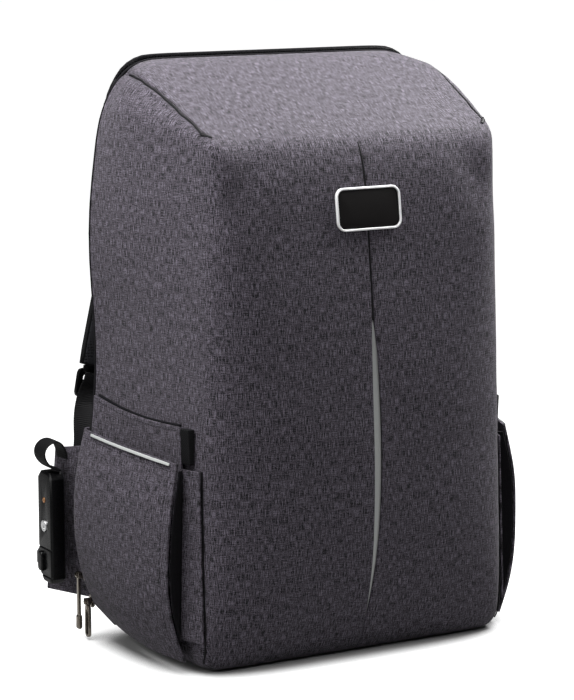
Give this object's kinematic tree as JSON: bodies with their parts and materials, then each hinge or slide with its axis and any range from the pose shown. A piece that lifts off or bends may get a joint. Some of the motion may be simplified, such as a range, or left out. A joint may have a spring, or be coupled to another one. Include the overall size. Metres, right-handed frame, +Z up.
{
  "type": "laptop backpack",
  "caption": "Upright laptop backpack with a sloped darted top, narrow front slit, bare badge, layered side pockets, shoulder straps and a small zip lock at the side.",
  "frame": {"origin": "middle of the base, on the floor", "axes": "+Z up, the front faces -Y, +X is the right side of the front view"},
  "size_m": [0.3814, 0.2235, 0.4702],
  "materials": {
    "charcoal_cloth": "two-tone woven melange",
    "black_cloth": "plain weave",
    "black_mesh": "padded spacer mesh",
    "black_webbing": "ribbed webbing",
    "black_plastic": "satin moulded",
    "silver_metal": "satin",
    "zinc": "die-cast, plated",
    "bronze": "satin",
    "light_tape": "reflective tape"
  },
  "bodies": {
    "bag": {"front_shell": "charcoal_cloth", "zip_gusset": "black_cloth", "zip_chain": "black_plastic", "back_panel": "black_mesh", "haul_loop": "black_webbing", "badge_rim": "silver_metal", "badge_plate": "black_plastic", "reflective_strip": "light_tape", "zip_slider_upper": "zinc", "zip_slider_lower": "zinc", "lock_body": "black_plastic", "lock_window": "bronze", "lock_webbing": "black_webbing", "pocket_outer_left": "charcoal_cloth", "pocket_piping_left": "light_tape", "pocket_inner_left": "charcoal_cloth", "pocket_gusset_left": "charcoal_cloth", "pocket_binding_left": "black_cloth", "anchor_wing_left": "charcoal_cloth", "strap_pad_left": "black_mesh", "ladder_lock_left": "black_plastic", "strap_webbing_left": "black_webbing", "pocket_outer_right": "charcoal_cloth", "pocket_piping_right": "light_tape", "pocket_inner_right": "charcoal_cloth", "pocket_gusset_right": "charcoal_cloth", "pocket_binding_right": "black_cloth", "anchor_wing_right": "charcoal_cloth", "strap_pad_right": "black_mesh", "ladder_lock_right": "black_plastic", "strap_webbing_right": "black_webbing"},
    "pull_upper": {"zip_pull_upper": "zinc"},
    "pull_lower": {"zip_pull_lower": "zinc"},
    "key_cylinder": {"lock_cylinder": "silver_metal"},
    "release_button": {"lock_button": "black_plastic"}
  },
  "joints": [
    {"name": "upper_pull_swing", "type": "hinge", "parent": "bag", "child": "pull_upper", "pos_m": [-0.1739, 0.0823, 0.053], "axis": [0, 1, 0], "range_deg": [-5, 150]},
    {"name": "lower_pull_swing", "type": "hinge", "parent": "bag", "child": "pull_lower", "pos_m": [-0.1688, 0.077, 0.031], "axis": [0, 1, 0], "range_deg": [-5, 150]},
    {"name": "key_turn", "type": "hinge", "parent": "bag", "child": "key_cylinder", "pos_m": [-0.192, 0.103, 0.0915], "axis": [-1, 0, 0], "range_deg": [0, 90]},
    {"name": "button_press", "type": "slide", "parent": "bag", "child": "release_button", "axis": [1, 0, 0], "range_m": [0, 0.0018], "stiffness_N_per_m": 300}
  ]
}
